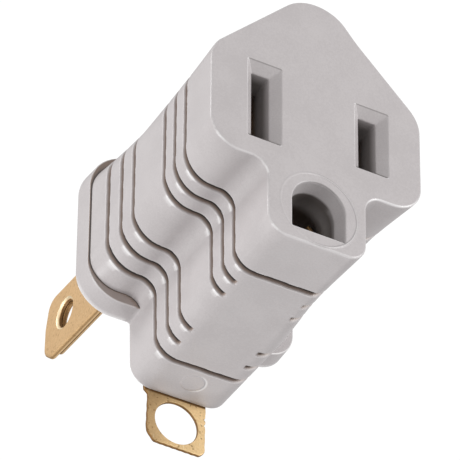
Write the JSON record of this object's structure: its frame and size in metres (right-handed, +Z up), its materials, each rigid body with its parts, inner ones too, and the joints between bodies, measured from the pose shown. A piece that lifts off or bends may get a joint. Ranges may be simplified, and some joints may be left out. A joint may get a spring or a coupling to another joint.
{
  "type": "grounding plug adapter",
  "caption": "Moulded adapter that lets a grounded plug fit a two-slot outlet: slotted socket face, ribbed grip, flat blades and a brass ground tab with a screw hole.",
  "frame": {"origin": "on the flat wall side of the flange, midway between the two blades", "axes": "+Y into the wall along the blades, +Z up towards the roof of the housing, +X to the right of someone who faces the socket"},
  "size_m": [0.0252, 0.0471, 0.04],
  "materials": {
    "vinyl": "satin moulded vinyl, light warm grey",
    "blade_brass": "stamped and folded brass strip, softly worn",
    "tab_brass": "stamped brass strip, slightly mottled, with small scratches"
  },
  "bodies": {
    "root": {"vinyl_body": "vinyl", "neutral_contact": "blade_brass", "hot_contact": "blade_brass", "ground_contact": "tab_brass"}
  },
  "joints": []
}
